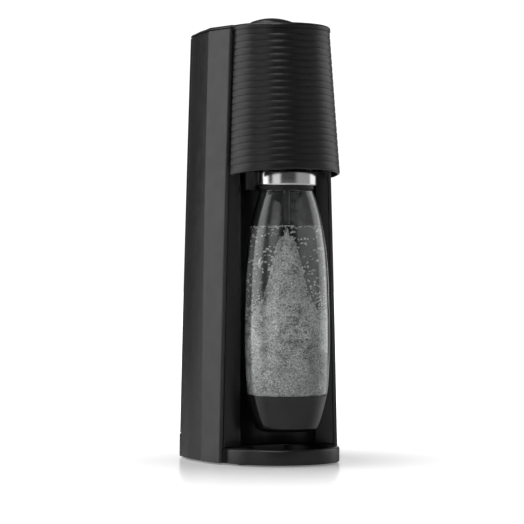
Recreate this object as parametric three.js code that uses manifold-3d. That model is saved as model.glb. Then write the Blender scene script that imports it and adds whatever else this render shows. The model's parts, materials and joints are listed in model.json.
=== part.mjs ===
// A gas-powered soda carbonator, in millimetres, +Z up.
// The design frame has its upright axis on the bottle: -Y is the front, z = 0 is the worktop.
// The whole group is moved back at the end so that its origin is the middle of its footprint.

import * as THREE from "three";
import { mergeVertices } from "three/addons/utils/BufferGeometryUtils.js";
import Module from "manifold-3d";

const wasm = await Module();
wasm.setup();

// ---- driving dimensions ----
const GAP = 0.4;
const FOOT_HEIGHT = 1.5;
const BODY_TOP = 427.5;
const HEAD_TOP = 425;
const TOP_COVER = { overHead: 425.6, overBody: 428.1, top: 431, round: 3, bossRadius: 29 };
const TAPER_HEIGHT = 412;
const WALL = 2.6;

const FRONT_FACE_Y = 16;
const CREASE_Y = 50;
const SEAM_Y = 108;
const REAR_Y = 135;
const FRONT_Y = -47.7;
const PANEL = { frontX: 66, creaseX: 70, thickness: 4.3 };
const REAR_OUTLINE = [[64.3, 108.7], [61.4, 119.5], [50, 130.4], [30, 134.5], [0, REAR_Y]];

const BASE = { radius: 59.7, rim: 16.3, deck: 2.6, backX: 61.3, backY: 103.6, plateTop: 3.5 };
const REAR_BASE = { frontX: 60, frontY: 104, top: 24.6, hollowX: 34, hollowFront: 107, hollowBack: 128 };
const FOOT = { radius: 7, edge: 1 };
const FOOT_PLACES = [[-44, 6], [44, 6], [-44, 112], [44, 112]];
const BASE_SCREW = { radius: 1.5, bottom: 1.9, top: 12, bossRadius: 4, holeRadius: 1.8, headHoleRadius: 2.2 };
const SCREW_PLACES = [[-50, 30], [50, 30], [-44, 92], [44, 92]];
const TRAY = { radius: 41.2, y: 3, bottom: 6.6, top: 15.4, wall: 1.6, clearance: 0.8 };
const NICHE = { radius: 44, y: 3 };
const COLUMN_TOP = 300;

const HEAD = { low: 291, high: 416, lowRadius: 56.6, highRadius: 50.3, lowY: 9.2, highY: 15 };
const HEAD_EDGE = { side: 283, front: 288 };
const RIDGE = { count: 21, depth: 0.7, columns: 11 };
const HEAD_FRAME = { front: 17.5, back: 20.5, bottom: 300.4 };

const BUTTON = { y: 32.5, radius: 24, top: 441.5, skirt: 424, wellRadius: 27, wellFloor: 414, travel: 7 };
const STEM = { radius: 4, bottom: 411, top: 436.9 };
const LEVER = { pivotY: 108, pivotZ: 408, halfWidth: 7, thickness: 5, frontY: 28 };
const PIVOT_HOLE_PLAY = 0.35;

const CYLINDER = { y: 84, radius: 30, wall: 2.5, bottom: 29.4, shoulder: 322, neck: 350, neckRadius: 13 };
const SEAT = { inner: 18, outer: 32, top: 24.4, clearance: 0.5 };
const VALVE = { radius: 10, bottom: 350.4, top: 366, pinTop: 369 };
const BLOCK = { halfWidth: 18, depth: 18, bottom: 358, top: 396, socketRadius: 11.5, socketTop: 371 };
const PLUNGER = { radius: 4, bottom: 374, top: 405.1 };
const PLATE = { halfWidth: 49, front: 22.5, back: 106, bottom: 397, top: 399.5 };
const RELEASE = { z: 366, innerX: 22.5, outerX: 26, barY: 113, barZ: 340, pinRadius: 2.4 };
const HOSE = { radius: 2.6, startX: -25.6, startY: 74, startZ: 385, endX: -45.4, endZ: 314.4 };
const HOSE_BENDS = [[-30, 74, 385], [-38, 61, 384], [-42, 40, 379], [-44.4, 22, 367], [-45.3, 10, 348]];
const RELIEF = { y: 93, z: 386, bodyRadius: 4.5, bodyLength: 7, stemRadius: 2.6, stemEnd: 11 };

const HOLDER = { pivotY: 6, pivotZ: 304, pinRadius: 2.8, halfWidth: 37, lowFront: 15, topFront: 3, back: 25,
  corner: 6, bottom: 269.6, shoulder: 292, top: 300, armWidth: 3 };
const RING = { inner: 27, outer: 29.6, bottom: 273.2, top: 287 };
const SLEEVE = { inner: 22.8, outer: 26.6, bottom: 269.5, top: 287.6 };
const CARBONATION_BLOCK = { radius: 20, bottom: 291.4, shoulder: 298.5, stemRadius: 14, stemTop: 312 };
const NOZZLE = { radius: 3.2, bore: 1.6, top: 305, bottom: 235.9, tipBottom: 231 };

const BOTTLE = { neckRadius: 22.3, top: 287.5, wall: 1.6, cupTop: 67.6, bottom: 32.4, sides: 24 };
const BOTTLE_PROFILE = [[41.5, 82], [42.6, 112], [42.6, 141], [41.9, 161], [41.3, 181], [40.2, 200],
  [37.9, 220], [34.4, 240], [32, 250], [29.3, 259.5], [26.1, 268.6]];
const CUP_PROFILE = [[25, 32.4], [30.5, 35], [33.6, 43], [36.5, 53], [39.6, 67.6]];

const HINGE = { y: 128.5, z: 30.3, pinRadius: 1.5, coverBottom: 27.3, coverTop: 426.9 };
const HINGE_EAR = { radius: 2.6, width: 3.6, lefts: [-28, -15.6, 12, 24.4] };
const HINGE_LUG = { radius: 3.2, width: 8, lefts: [-24, 16] };
const LATCH = { halfWidth: 9, front: 119, back: 129, bottom: 417, top: 430.8, gripWall: 3, gripDepth: 1.2 };
const LATCH_SHELF = { halfWidth: 11.5, front: 117, back: 130.6, bottom: 402, floor: 404 };
const PAST = 1;

// ---- solids ----
function welded(geometry) {
  const bare = geometry.index ? geometry.toNonIndexed() : geometry.clone();
  bare.deleteAttribute("normal");
  bare.deleteAttribute("uv");
  return mergeVertices(bare, 1e-4);
}

function signedVolume(positions, triangles) {
  const corner = [new THREE.Vector3(), new THREE.Vector3(), new THREE.Vector3()];
  let volume = 0;
  for (let i = 0; i < triangles.length; i += 3) {
    corner.forEach((point, k) => point.fromArray(positions, triangles[i + k] * 3));
    volume += corner[0].dot(corner[1].cross(corner[2]));
  }
  return volume;
}

function toSolid(geometry) {
  const mesh = welded(geometry);
  const positions = new Float32Array(mesh.attributes.position.array);
  const triangles = [];
  for (let i = 0; i < mesh.index.count; i += 3) {
    const [a, b, c] = [0, 1, 2].map((k) => mesh.index.array[i + k]);
    if (a !== b && b !== c && c !== a) triangles.push(a, b, c);
  }
  if (signedVolume(positions, triangles) < 0) triangles.reverse();
  const data = { numProp: 3, vertProperties: positions, triVerts: new Uint32Array(triangles) };
  return new wasm.Manifold(new wasm.Mesh(data));
}

function toGeometry(solid) {
  const mesh = solid.getMesh();
  const geometry = new THREE.BufferGeometry();
  geometry.setAttribute("position", new THREE.BufferAttribute(new Float32Array(mesh.vertProperties), 3));
  geometry.setIndex(Array.from(mesh.triVerts));
  geometry.computeVertexNormals();
  return geometry;
}

function reshape(geometry, move) {
  const position = geometry.attributes.position;
  const point = new THREE.Vector3();
  for (let i = 0; i < position.count; i += 1) {
    point.fromBufferAttribute(position, i);
    move(point);
    position.setXYZ(i, point.x, point.y, point.z);
  }
  return geometry;
}

function box(x0, x1, y0, y1, z0, z1) {
  const geometry = new THREE.BoxGeometry(x1 - x0, y1 - y0, z1 - z0);
  return toSolid(geometry.translate((x0 + x1) / 2, (y0 + y1) / 2, (z0 + z1) / 2));
}

function polygon(points) {
  return new THREE.Shape(points.map(([x, y]) => new THREE.Vector2(x, y)));
}

function prismGeometry(shape, z0, z1, steps = 1, curveSegments = 12) {
  const options = { depth: z1 - z0, steps, bevelEnabled: false, curveSegments };
  return new THREE.ExtrudeGeometry(shape, options).translate(0, 0, z0);
}

function prism(shape, z0, z1) {
  return toSolid(prismGeometry(shape, z0, z1));
}

// A plate cut to an outline in the YZ plane, from x0 to x1.
function sidePlate(shape, x0, x1) {
  const turn = new THREE.Matrix4().makeBasis(
    new THREE.Vector3(0, 1, 0), new THREE.Vector3(0, 0, 1), new THREE.Vector3(1, 0, 0));
  return toSolid(prismGeometry(shape, x0, x1).applyMatrix4(turn));
}

function upright(radius, x, y, z0, z1, sides = 32) {
  const geometry = new THREE.CylinderGeometry(radius, radius, z1 - z0, sides).rotateX(Math.PI / 2);
  return toSolid(geometry.translate(x, y, (z0 + z1) / 2));
}

// A rod along X between x0 and x1.
function crossRod(radius, x0, x1, y, z, sides = 20) {
  const geometry = new THREE.CylinderGeometry(radius, radius, x1 - x0, sides).rotateZ(Math.PI / 2);
  return toSolid(geometry.translate((x0 + x1) / 2, y, z));
}

// A turned solid on an upright axis. The profile's points are [radius, z].
function turned(profile, x, y, sides = 32) {
  const points = profile.map(([radius, z]) => new THREE.Vector2(radius, z));
  const geometry = new THREE.LatheGeometry(points, sides).rotateX(Math.PI / 2);
  return toSolid(geometry.translate(x, y, 0));
}

function closed(profile) {
  return [...profile, profile[0]];
}

function bushing(inner, outer, z0, z1, x, y, sides = 32) {
  return turned(closed([[inner, z0], [outer, z0], [outer, z1], [inner, z1]]), x, y, sides);
}

function coil(radius, wire, z0, z1, turns, x, y) {
  class Helix extends THREE.Curve {
    getPoint(t, target = new THREE.Vector3()) {
      const angle = t * turns * 2 * Math.PI;
      const z = THREE.MathUtils.lerp(z0 + wire, z1 - wire, t);
      return target.set(x + radius * Math.cos(angle), y + radius * Math.sin(angle), z);
    }
  }
  const section = new THREE.Shape().absarc(0, 0, wire, 0, 2 * Math.PI);
  const options = { steps: turns * 8, curveSegments: 2, extrudePath: new Helix() };
  return toSolid(new THREE.ExtrudeGeometry(section, options));
}

// ---- the tapering body ----
const mix = THREE.MathUtils.lerp;
const share = (value, low, high) => THREE.MathUtils.clamp((value - low) / (high - low), 0, 1);

// The body narrows with height. The front edge and the back narrow more than the crease does.
const NARROWING = { front: [0.14, 0.035], crease: [0.045, 0.065], rear: [0.16, 0.035] };

function widthScale(y, z) {
  const height = z / TAPER_HEIGHT;
  const toCrease = share(y, FRONT_FACE_Y, CREASE_Y);
  const toRear = share(y, CREASE_Y, SEAM_Y);
  const rate = NARROWING.front.map((front, i) =>
    mix(mix(front, NARROWING.crease[i], toCrease), NARROWING.rear[i], toRear));
  return 1 - height * (rate[0] + rate[1] * height);
}

function taper(point) {
  point.x *= widthScale(point.y, point.z);
}

function taperedPrism(shape, z0, z1, steps = 5) {
  return toSolid(reshape(prismGeometry(shape, z0, z1, steps), taper));
}

function smooth(points, count) {
  return new THREE.SplineCurve(points.map(([x, y]) => new THREE.Vector2(x, y)))
    .getPoints(count).map(({ x, y }) => [x, y]);
}

function mirrored(points) {
  return points.map(([x, y]) => [-x, y]);
}

// The rear outline from the right seam, round the back, to the left seam.
function rearOutline(count = 7) {
  const half = smooth(REAR_OUTLINE, count);
  return [...half, ...mirrored(half).reverse().slice(1)];
}

// The line that lies the given distance to the left of a run of points.
function offsetLine(points, distance) {
  return points.map(([x, y], i) => {
    const [ax, ay] = points[Math.max(i - 1, 0)];
    const [bx, by] = points[Math.min(i + 1, points.length - 1)];
    const length = Math.hypot(bx - ax, by - ay);
    return [x - ((by - ay) / length) * distance, y + ((bx - ax) / length) * distance];
  });
}

function wallShape(points, thickness) {
  return polygon([...points, ...offsetLine(points, thickness).reverse()]);
}

function arcPoints(radius, x, y, from, to, count) {
  return Array.from({ length: count + 1 }, (_, i) => {
    const angle = mix(from, to, i / count);
    return [x + radius * Math.cos(angle), y + radius * Math.sin(angle)];
  });
}

// ---- base ----
function baseOutline(inset) {
  const front = arcPoints(BASE.radius - inset, 0, FRONT_FACE_Y, -Math.PI / 2, 0, 12);
  const innerX = PANEL.frontX - PANEL.thickness - GAP;
  const creaseX = PANEL.creaseX - PANEL.thickness - GAP;
  const side = [[innerX - inset, FRONT_FACE_Y + GAP], [creaseX - inset, CREASE_Y],
    [creaseX - inset - 1, CREASE_Y + 1], [BASE.backX - inset, BASE.backY - inset]];
  const half = [...front, ...side];
  return polygon([...half, ...mirrored(half).reverse().slice(0, -1)]);
}

// The front of the base: hollow below, with a round recess in its deck for the drip tray.
function baseTub() {
  const recess = TRAY.radius + TRAY.clearance;
  const hollowTop = BASE.rim - BASE.deck;
  const recessFloor = TRAY.bottom - GAP;
  const floorBottom = BASE.plateTop + GAP;
  const { bossRadius, holeRadius, top } = BASE_SCREW;
  let tub = prism(baseOutline(0), FOOT_HEIGHT, BASE.rim)
    .subtract(prism(baseOutline(WALL), -PAST, hollowTop))
    .add(upright(recess + WALL, 0, TRAY.y, floorBottom, BASE.rim - 1))
    .subtract(upright(recess, 0, TRAY.y, recessFloor, BASE.rim + PAST));
  SCREW_PLACES.forEach(([x, y]) => {
    tub = tub.add(upright(bossRadius, x, y, floorBottom, hollowTop + 1, 16));
  });
  SCREW_PLACES.forEach(([x, y]) => {
    tub = tub.subtract(upright(holeRadius, x, y, 0, top + 0.7, 12));
  });
  return tub;
}

function hingeEars() {
  const { radius, width, lefts } = HINGE_EAR;
  return lefts.map((x) =>
    box(x, x + width, HINGE.y - radius, HINGE.y + 0.8, REAR_BASE.top - 1, HINGE.z)
      .add(crossRod(radius, x, x + width, HINGE.y, HINGE.z)));
}

// The raised block behind the gas cylinder. It carries the rear cover's hinge.
function rearBase() {
  const { frontX, frontY, top, hollowX, hollowFront, hollowBack } = REAR_BASE;
  const half = [[frontX, frontY], [frontX, REAR_OUTLINE[0][1]]];
  const outline = [...half, ...rearOutline(), ...mirrored(half).reverse()];
  let block = prism(polygon(outline), FOOT_HEIGHT, top)
    .subtract(upright(SEAT.outer + SEAT.clearance, 0, CYLINDER.y, BASE.rim, top + PAST))
    .subtract(box(-hollowX, hollowX, hollowFront, hollowBack, -PAST, BASE.rim - BASE.deck));
  hingeEars().forEach((ear) => { block = block.add(ear); });
  return block.subtract(crossRod(HINGE.pinRadius + 0.3, -30, 30, HINGE.y, HINGE.z));
}

function basePlate() {
  let plate = prism(baseOutline(WALL + GAP), FOOT_HEIGHT, BASE.plateTop);
  const { headHoleRadius } = BASE_SCREW;
  SCREW_PLACES.forEach(([x, y]) => {
    plate = plate.subtract(upright(headHoleRadius, x, y, 0, BASE.plateTop + PAST, 12));
  });
  return plate;
}

function foot(x, y) {
  const { radius, edge } = FOOT;
  const top = FOOT_HEIGHT - 0.3;
  return turned([[0, 0], [radius - edge, 0], [radius, edge], [radius, top], [0, top]], x, y, 16);
}

function baseScrew(x, y) {
  const { radius, bottom, top } = BASE_SCREW;
  return turned([[0, bottom], [radius, bottom], [radius, top], [0, top]], x, y, 12);
}

function dripTray() {
  const { radius, wall, bottom, top, y } = TRAY;
  const profile = [[0, bottom], [radius, bottom], [radius, top], [radius - wall, top],
    [radius - wall, bottom + wall], [0, bottom + wall]];
  return turned(profile, 0, y, 32);
}

// ---- outer panels ----
function sidePanel() {
  const { frontX, creaseX, thickness } = PANEL;
  const outline = polygon([[frontX - 1, FRONT_FACE_Y], [frontX, FRONT_FACE_Y + 1], [creaseX, CREASE_Y - 1],
    [creaseX - 1, CREASE_Y], [creaseX - thickness, CREASE_Y], [frontX - thickness, FRONT_FACE_Y]]);
  return taperedPrism(outline, FOOT_HEIGHT, BODY_TOP);
}

function rearShell() {
  const outer = smooth([[67.8, CREASE_Y + 0.4], [68.6, 66], [68.2, 84], [64.6, SEAM_Y]], 6);
  return taperedPrism(wallShape(outer, WALL), FOOT_HEIGHT, BODY_TOP);
}

function rearCover() {
  const skin = taperedPrism(wallShape(rearOutline(), WALL), HINGE.coverBottom, HINGE.coverTop);
  const { radius, width, lefts } = HINGE_LUG;
  const lugs = lefts.map((x) =>
    box(x, x + width, HINGE.y, REAR_Y - WALL / 2 - 0.8, HINGE.coverBottom, HINGE.z + radius)
      .add(crossRod(radius, x, x + width, HINGE.y, HINGE.z))
      .subtract(crossRod(HINGE.pinRadius + PIVOT_HOLE_PLAY, x - PAST, x + width + PAST, HINGE.y, HINGE.z)));
  return skin.add(lugs[0]).add(lugs[1]);
}

// The front wall between the side panels, hollowed behind, with a round niche for the bottle.
function frontColumn() {
  const z0 = BASE.rim + GAP;
  const edge = PANEL.frontX - PANEL.thickness - GAP;
  const slab = taperedPrism(polygon([[-edge, FRONT_FACE_Y], [edge, FRONT_FACE_Y],
    [edge, CREASE_Y], [-edge, CREASE_Y]]), z0, COLUMN_TOP);
  const inner = edge - WALL;
  const behind = taperedPrism(polygon([[-inner, FRONT_FACE_Y + WALL], [inner, FRONT_FACE_Y + WALL],
    [inner, CREASE_Y + 5], [-inner, CREASE_Y + 5]]), z0 - 1, COLUMN_TOP + 1, 1);
  const nicheWall = upright(NICHE.radius + WALL, 0, NICHE.y, z0 - 2, COLUMN_TOP + 2, 48);
  const niche = upright(NICHE.radius, 0, NICHE.y, z0 - 3, COLUMN_TOP + 3, 48);
  return slab.subtract(behind.subtract(nicheWall)).subtract(niche);
}

// The lid. It is thick over the head and round the button, and thin over the body's side walls.
function topCover() {
  const { overHead, overBody, top, round, bossRadius } = TOP_COVER;
  const scaleAt = (x, y) => x * widthScale(y, BODY_TOP);
  const side = [[PANEL.frontX, FRONT_FACE_Y], [PANEL.creaseX, CREASE_Y], [68.6, 66], [68.2, 84],
    ...smooth(REAR_OUTLINE, 8)].map(([x, y]) => [scaleAt(x, y), y]);
  const half = [...arcPoints(HEAD.highRadius, 0, HEAD.highY, -Math.PI / 2, 0, 12), ...side];
  const outline = polygon([...half, ...mirrored(half).reverse().slice(1, -1)]);
  const middleY = (FRONT_Y + REAR_Y) / 2;
  const rounded = reshape(prismGeometry(outline, overHead, top, 4), (point) => {
    const drop = share(point.z, top - round, top);
    const inset = 1 - (1 - Math.sqrt(1 - drop * drop)) * (round / HEAD.highRadius);
    point.x *= inset;
    point.y = middleY + (point.y - middleY) * inset;
  });
  const slotX = LATCH.halfWidth + GAP;
  const slotFront = LATCH.front - GAP;
  const { halfWidth, front, back, bottom, floor } = LATCH_SHELF;
  const shelf = box(-halfWidth, halfWidth, front, back, bottom, overBody + 1)
    .subtract(box(-slotX, slotX, slotFront, back + PAST, floor, top + PAST));
  const relief = box(-80, 80, FRONT_FACE_Y - GAP, REAR_Y + PAST, overHead - PAST, overBody)
    .subtract(upright(bossRadius, 0, BUTTON.y, overHead - 2 * PAST, top, 48));
  return toSolid(rounded)
    .subtract(relief)
    .subtract(upright(BUTTON.radius + 0.8, 0, BUTTON.y, overHead - PAST, top + PAST, 40))
    .subtract(box(-slotX, slotX, slotFront, LATCH.back + GAP, bottom, top + PAST))
    .add(shelf);
}

function coverLatch() {
  const { halfWidth, front, back, bottom, top, gripWall, gripDepth } = LATCH;
  return box(-halfWidth, halfWidth, front, back, bottom, top)
    .subtract(box(-halfWidth + gripWall, halfWidth - gripWall, front + gripWall, back - gripWall,
      top - gripDepth, top + PAST));
}

// ---- head ----
function headRadius(z) {
  return mix(HEAD.lowRadius, HEAD.highRadius, (z - HEAD.low) / (HEAD.high - HEAD.low));
}

function headY(z) {
  return mix(HEAD.lowY, HEAD.highY, (z - HEAD.low) / (HEAD.high - HEAD.low));
}

// A half-round shell whose level ridges bow down to the arched lower edge.
function headShell() {
  const half = new THREE.Shape().absarc(0, 0, 1, Math.PI, 2 * Math.PI, false);
  const rows = RIDGE.count * 2;
  const outside = reshape(prismGeometry(half, 0, 1, rows, RIDGE.columns), (point) => {
    const groove = Math.round(point.z * rows) % 2 ? RIDGE.depth : 0;
    const edge = mix(HEAD_EDGE.side, HEAD_EDGE.front, -point.y);
    point.z = mix(edge, HEAD_TOP, point.z);
    const radius = headRadius(point.z) - groove;
    point.x *= radius;
    point.y = headY(point.z) + point.y * radius;
  });
  const core = new THREE.Shape().absarc(0, 0, 1, 0, 2 * Math.PI, false);
  const inside = reshape(prismGeometry(core, 270, 440, 1, 14), (point) => {
    const radius = headRadius(point.z) - WALL;
    point.x *= radius;
    point.y = headY(point.z) + point.y * radius;
  });
  return toSolid(outside).subtract(toSolid(inside));
}

function headUnderside() {
  const radius = headRadius(HEAD_EDGE.front) - WALL - 1;
  const arc = arcPoints(radius, 0, HEAD.lowY, -Math.PI, 0, 24);
  const outline = polygon([...arc, [radius - 4, FRONT_FACE_Y - GAP], [4 - radius, FRONT_FACE_Y - GAP]]);
  return prism(outline, HEAD_EDGE.front + 0.6, HEAD_EDGE.front + 3)
    .subtract(upright(36.5, 0, -1, 280, 300, 40))
    .subtract(box(-43.5, 43.5, -3, 30, 280, 300));
}

function headFrame() {
  const edge = PANEL.frontX - PANEL.thickness - GAP;
  const { front, back, bottom } = HEAD_FRAME;
  return taperedPrism(polygon([[-edge, front], [edge, front], [edge, back], [-edge, back]]), bottom, BODY_TOP)
    .subtract(box(-30, 30, 10, 30, BUTTON.wellFloor - 5, 430))
    .subtract(box(-50, -39.5, 10, 30, 352, 380));
}

// ---- push button and actuator ----
function buttonCap() {
  const { radius, top, skirt } = BUTTON;
  const dome = [[0, top], [9, top - 0.7], [15, top - 2], [19.7, top - 3.6], [22.6, top - 5.6],
    [radius, top - 8.4]];
  const lining = [[radius - 1.8, skirt], [radius - 1.8, top - 8.4], [18, top - 6], [0, top - 3.6]];
  return turned([...dome, [radius, skirt], ...lining], 0, BUTTON.y);
}

function buttonStem() {
  const { radius, bottom, top } = STEM;
  return turned([[0, bottom], [radius, bottom], [radius, top], [0, top]], 0, BUTTON.y, 20);
}

function buttonWell() {
  const { wellRadius, wellFloor, y } = BUTTON;
  const inner = wellRadius - 2;
  const bore = STEM.radius + 0.6;
  const rim = HEAD_TOP + 0.2;
  const profile = closed([[bore, wellFloor], [wellRadius, wellFloor], [wellRadius, rim], [inner, rim],
    [inner, wellFloor + 2], [bore, wellFloor + 2]]);
  return turned(profile, 0, y);
}

function actuatorLever() {
  const { pivotY, pivotZ, halfWidth, thickness, frontY } = LEVER;
  const bar = box(-halfWidth, halfWidth, frontY, pivotY, pivotZ - thickness / 2, pivotZ + thickness / 2);
  return bar.add(crossRod(5, -halfWidth, halfWidth, pivotY, pivotZ))
    .subtract(crossRod(2 + PIVOT_HOLE_PLAY, -20, 20, pivotY, pivotZ));
}

function mechanismPlate() {
  const { halfWidth, front, back, bottom, top } = PLATE;
  let plate = box(-halfWidth, halfWidth, front, back, bottom, top)
    .subtract(box(-9, 9, front + 4, 94, bottom - 1, top + 1));
  [-11.5, 9].forEach((x) => {
    plate = plate.add(box(x, x + 2.5, 101, 114, bottom, 413.5));
  });
  return plate.subtract(crossRod(2.25, -20, 20, LEVER.pivotY, LEVER.pivotZ));
}

// ---- gas side ----
function valveBlock() {
  const { halfWidth, depth, bottom, top, socketRadius, socketTop } = BLOCK;
  const y = CYLINDER.y;
  return box(-halfWidth, halfWidth, y - depth, y + depth, bottom, top)
    .subtract(upright(socketRadius, 0, y, bottom - 1, socketTop))
    .subtract(upright(PLUNGER.radius + 0.3, 0, y, socketTop - 1, top + 1, 20))
    .subtract(upright(7.5, 0, y, top - 8, top + 1, 24))
    .subtract(crossRod(RELEASE.pinRadius + 0.3, halfWidth - 4.5, halfWidth + 1, y, RELEASE.z))
    .subtract(crossRod(RELEASE.pinRadius + 0.3, -halfWidth - 1, 4.5 - halfWidth, y, RELEASE.z));
}

function valvePlunger() {
  const { radius, bottom, top } = PLUNGER;
  return turned([[0, bottom], [2, bottom], [radius - 0.1, bottom + 2], [radius - 0.1, top], [0, top]],
    0, CYLINDER.y, 20);
}

function reliefValve() {
  const { y, z, bodyRadius, bodyLength, stemRadius, stemEnd } = RELIEF;
  const x = BLOCK.halfWidth;
  return crossRod(bodyRadius, x + 0.3, x + bodyLength, y, z, 6)
    .add(crossRod(stemRadius, x + bodyLength - 1, x + stemEnd, y, z, 16));
}

function hoseFitting() {
  return crossRod(4, -BLOCK.halfWidth - 7, -BLOCK.halfWidth - 0.3, HOSE.startY, HOSE.startZ, 16);
}

function hoseElbow() {
  return crossRod(4, -48.8, -43.2, HOLDER.pivotY, HOLDER.pivotZ, 16)
    .add(upright(3.4, HOSE.endX, HOLDER.pivotY, HOLDER.pivotZ, HOSE.endZ - 0.3, 16));
}

function gasHose() {
  const { startX, startY, startZ, endX, endZ } = HOSE;
  const points = [[startX, startY, startZ], ...HOSE_BENDS, [endX, HOLDER.pivotY, 330],
    [endX, HOLDER.pivotY, endZ]];
  const route = new THREE.CatmullRomCurve3(points.map((point) => new THREE.Vector3(...point)));
  const section = new THREE.Shape().absarc(0, 0, HOSE.radius, 0, 2 * Math.PI);
  return toSolid(new THREE.ExtrudeGeometry(section, { steps: 20, curveSegments: 4, extrudePath: route }));
}

function gasCylinder() {
  const { radius, wall, bottom, shoulder, neck, neckRadius, y } = CYLINDER;
  const inner = radius - wall;
  const bore = 6;
  const outside = [[0, bottom + 3], [14, bottom + 2], [20, bottom], [27, bottom], [radius, bottom + 4],
    [radius, shoulder], [radius - 3, shoulder + 10], [22, shoulder + 18], [neckRadius, shoulder + 23],
    [neckRadius, neck]];
  const inside = [[bore, neck], [bore, shoulder + 19], [20, shoulder + 14], [inner - 3, shoulder + 7],
    [inner, shoulder - 2], [inner, bottom + 8], [20, bottom + 5], [0, bottom + 5]];
  return turned([...outside, ...inside], 0, y, 28);
}

function cylinderValve() {
  const { radius, bottom, top, pinTop } = VALVE;
  return turned([[0, bottom - 12], [5, bottom - 12], [5, bottom], [radius, bottom], [radius, top - 5],
    [radius - 1, top - 5], [radius - 1, top], [3, top], [3, pinTop], [0, pinTop]], 0, CYLINDER.y, 24);
}

function releaseLever() {
  const { z, innerX, outerX, barY, barZ } = RELEASE;
  const y = CYLINDER.y;
  const outline = polygon([[y - 4, z - 3], [y + 8, z - 11], [barY - 3, barZ - 3], [barY + 3, barZ - 5],
    [barY + 4, barZ + 2], [barY - 1, barZ + 6], [y + 14, z - 5], [y + 4, z + 4], [y - 3, z + 4]]);
  const arms = [[-outerX, -innerX], [innerX, outerX]].map(([x0, x1]) => sidePlate(outline, x0, x1));
  const bar = sidePlate(polygon([[barY - 3, barZ - 3], [barY + 3, barZ - 5], [barY + 4, barZ + 2],
    [barY - 1, barZ + 6]]), -outerX, outerX);
  return bar.add(arms[0]).add(arms[1])
    .subtract(crossRod(RELEASE.pinRadius + PIVOT_HOLE_PLAY, -40, 40, y, z));
}

function releasePin(side) {
  const ends = [side * (BLOCK.halfWidth - 4), side * (RELEASE.outerX + 0.8)];
  return crossRod(RELEASE.pinRadius, Math.min(...ends), Math.max(...ends), CYLINDER.y, RELEASE.z);
}

// ---- tilting bottle holder ----
function yokeBlock(front, z0, z1) {
  const { halfWidth, back, corner } = HOLDER;
  const block = new THREE.Shape();
  block.moveTo(-halfWidth, front);
  block.lineTo(-halfWidth, back - corner);
  block.quadraticCurveTo(-halfWidth, back, -halfWidth + corner, back);
  block.lineTo(halfWidth - corner, back);
  block.quadraticCurveTo(halfWidth, back, halfWidth, back - corner);
  block.lineTo(halfWidth, front);
  return prism(block, z0, z1);
}

// The yoke grips the ring from behind. Its top reaches forward over the ring to the two pivots.
function holderYoke() {
  const { halfWidth, bottom, shoulder, top, pivotY, pivotZ, lowFront, topFront, armWidth } = HOLDER;
  const arm = (x) => box(x, x + armWidth, pivotY - 5.5, pivotY + 5.5, top - 4, pivotZ)
    .add(crossRod(5.5, x, x + armWidth, pivotY, pivotZ));
  return yokeBlock(lowFront, bottom, top)
    .add(yokeBlock(topFront, shoulder, top))
    .add(upright(30.5, 0, 0, shoulder, top))
    .subtract(upright(RING.outer + 0.3, 0, 0, bottom - PAST, shoulder, 32))
    .subtract(upright(20.4, 0, 0, RING.top, top + PAST, 36))
    .add(arm(-halfWidth))
    .add(arm(halfWidth - armWidth))
    .subtract(crossRod(HOLDER.pinRadius + PIVOT_HOLE_PLAY, -50, 50, pivotY, pivotZ));
}

function chromeRing() {
  const { inner, outer, bottom, top } = RING;
  const edge = 0.8;
  return turned(closed([[inner, bottom + edge], [inner + edge, bottom], [outer - edge, bottom],
    [outer, bottom + edge], [outer, top - edge], [outer - edge, top], [inner, top]]), 0, 0);
}

function carbonationBlock() {
  const bore = NOZZLE.radius + 0.3;
  const { radius, bottom, shoulder, stemRadius, stemTop } = CARBONATION_BLOCK;
  return turned(closed([[bore, bottom], [radius, bottom], [radius, shoulder], [stemRadius, shoulder + 1.5],
    [stemRadius, stemTop - 2], [stemRadius - 2, stemTop], [bore, stemTop]]), 0, 0, 36);
}

function nozzleTip() {
  const { radius, bottom, tipBottom } = NOZZLE;
  return turned(closed([[0.9, tipBottom], [radius - 0.8, tipBottom], [radius + 0.4, tipBottom + 1.2],
    [radius + 0.4, bottom - 0.3], [0.9, bottom - 0.3]]), 0, 0, 20);
}

function pivotBracket(x) {
  const { pivotY, pivotZ } = HOLDER;
  return box(x, x + 3.4, pivotY, HEAD_FRAME.front - 0.3, pivotZ - 3, pivotZ + 8)
    .add(crossRod(6, x, x + 3.4, pivotY, pivotZ))
    .subtract(crossRod(HOLDER.pinRadius + 0.3, x - 1, x + 5, pivotY, pivotZ));
}

function pivotPin(side) {
  const ends = [side * 32, side * 41.4];
  return crossRod(HOLDER.pinRadius, Math.min(...ends), Math.max(...ends), HOLDER.pivotY, HOLDER.pivotZ);
}

// ---- bottle ----
function bottleShell() {
  const { neckRadius, top, wall, cupTop } = BOTTLE;
  const cupInset = 2.3;
  const lower = CUP_PROFILE.slice(1).map(([radius, z]) => [radius - cupInset, z + 1.4]);
  const outside = [[0, BOTTLE.bottom + 4.4], [22, BOTTLE.bottom + 4.4], ...lower.slice(0, -1),
    [36.9, cupTop - 2], [36.9, cupTop + 0.3], [39.8, cupTop + 0.3],
    ...BOTTLE_PROFILE, [neckRadius, 269.4], [neckRadius, top]];
  const inside = [[neckRadius - 3, top], [neckRadius - 3, 268], ...[...BOTTLE_PROFILE].reverse()
    .map(([radius, z]) => [radius - wall, z]), [35.3, 66], ...lower.slice(0, -1).reverse()
    .map(([radius, z]) => [radius - wall, z + 0.6]), [20, BOTTLE.bottom + 6.4], [0, BOTTLE.bottom + 6.4]];
  return turned([...outside, ...inside], 0, 0, BOTTLE.sides);
}

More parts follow.
